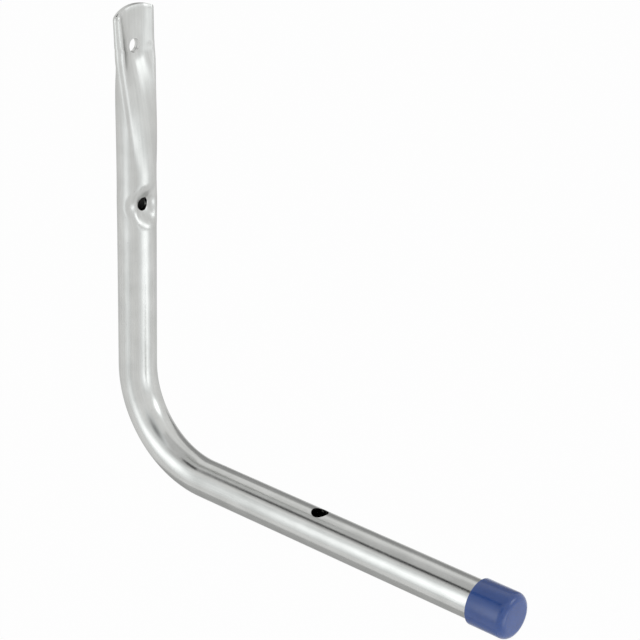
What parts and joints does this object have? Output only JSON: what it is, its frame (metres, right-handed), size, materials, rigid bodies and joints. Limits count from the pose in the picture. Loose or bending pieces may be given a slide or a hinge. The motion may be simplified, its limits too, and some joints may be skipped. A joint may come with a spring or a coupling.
{
  "type": "ceiling hook",
  "caption": "L-shaped hook of bright zinc plated round steel tube, with a pressed flat fixing end, a dimpled fixing hole in the leg and a blue push-on cap on the arm.",
  "frame": {"origin": "on the plane that the hook is screwed to, at the axis of the lower fixing hole", "axes": "+X away from that plane along the arm, +Z along the leg towards the pressed end, +Y sideways"},
  "size_m": [0.2552, 0.0273, 0.2524],
  "materials": {
    "zinc_tube": "bright zinc plated",
    "blue_cap": "satin"
  },
  "bodies": {
    "root": {"hook_tube": "zinc_tube", "end_cap": "blue_cap"}
  },
  "joints": []
}
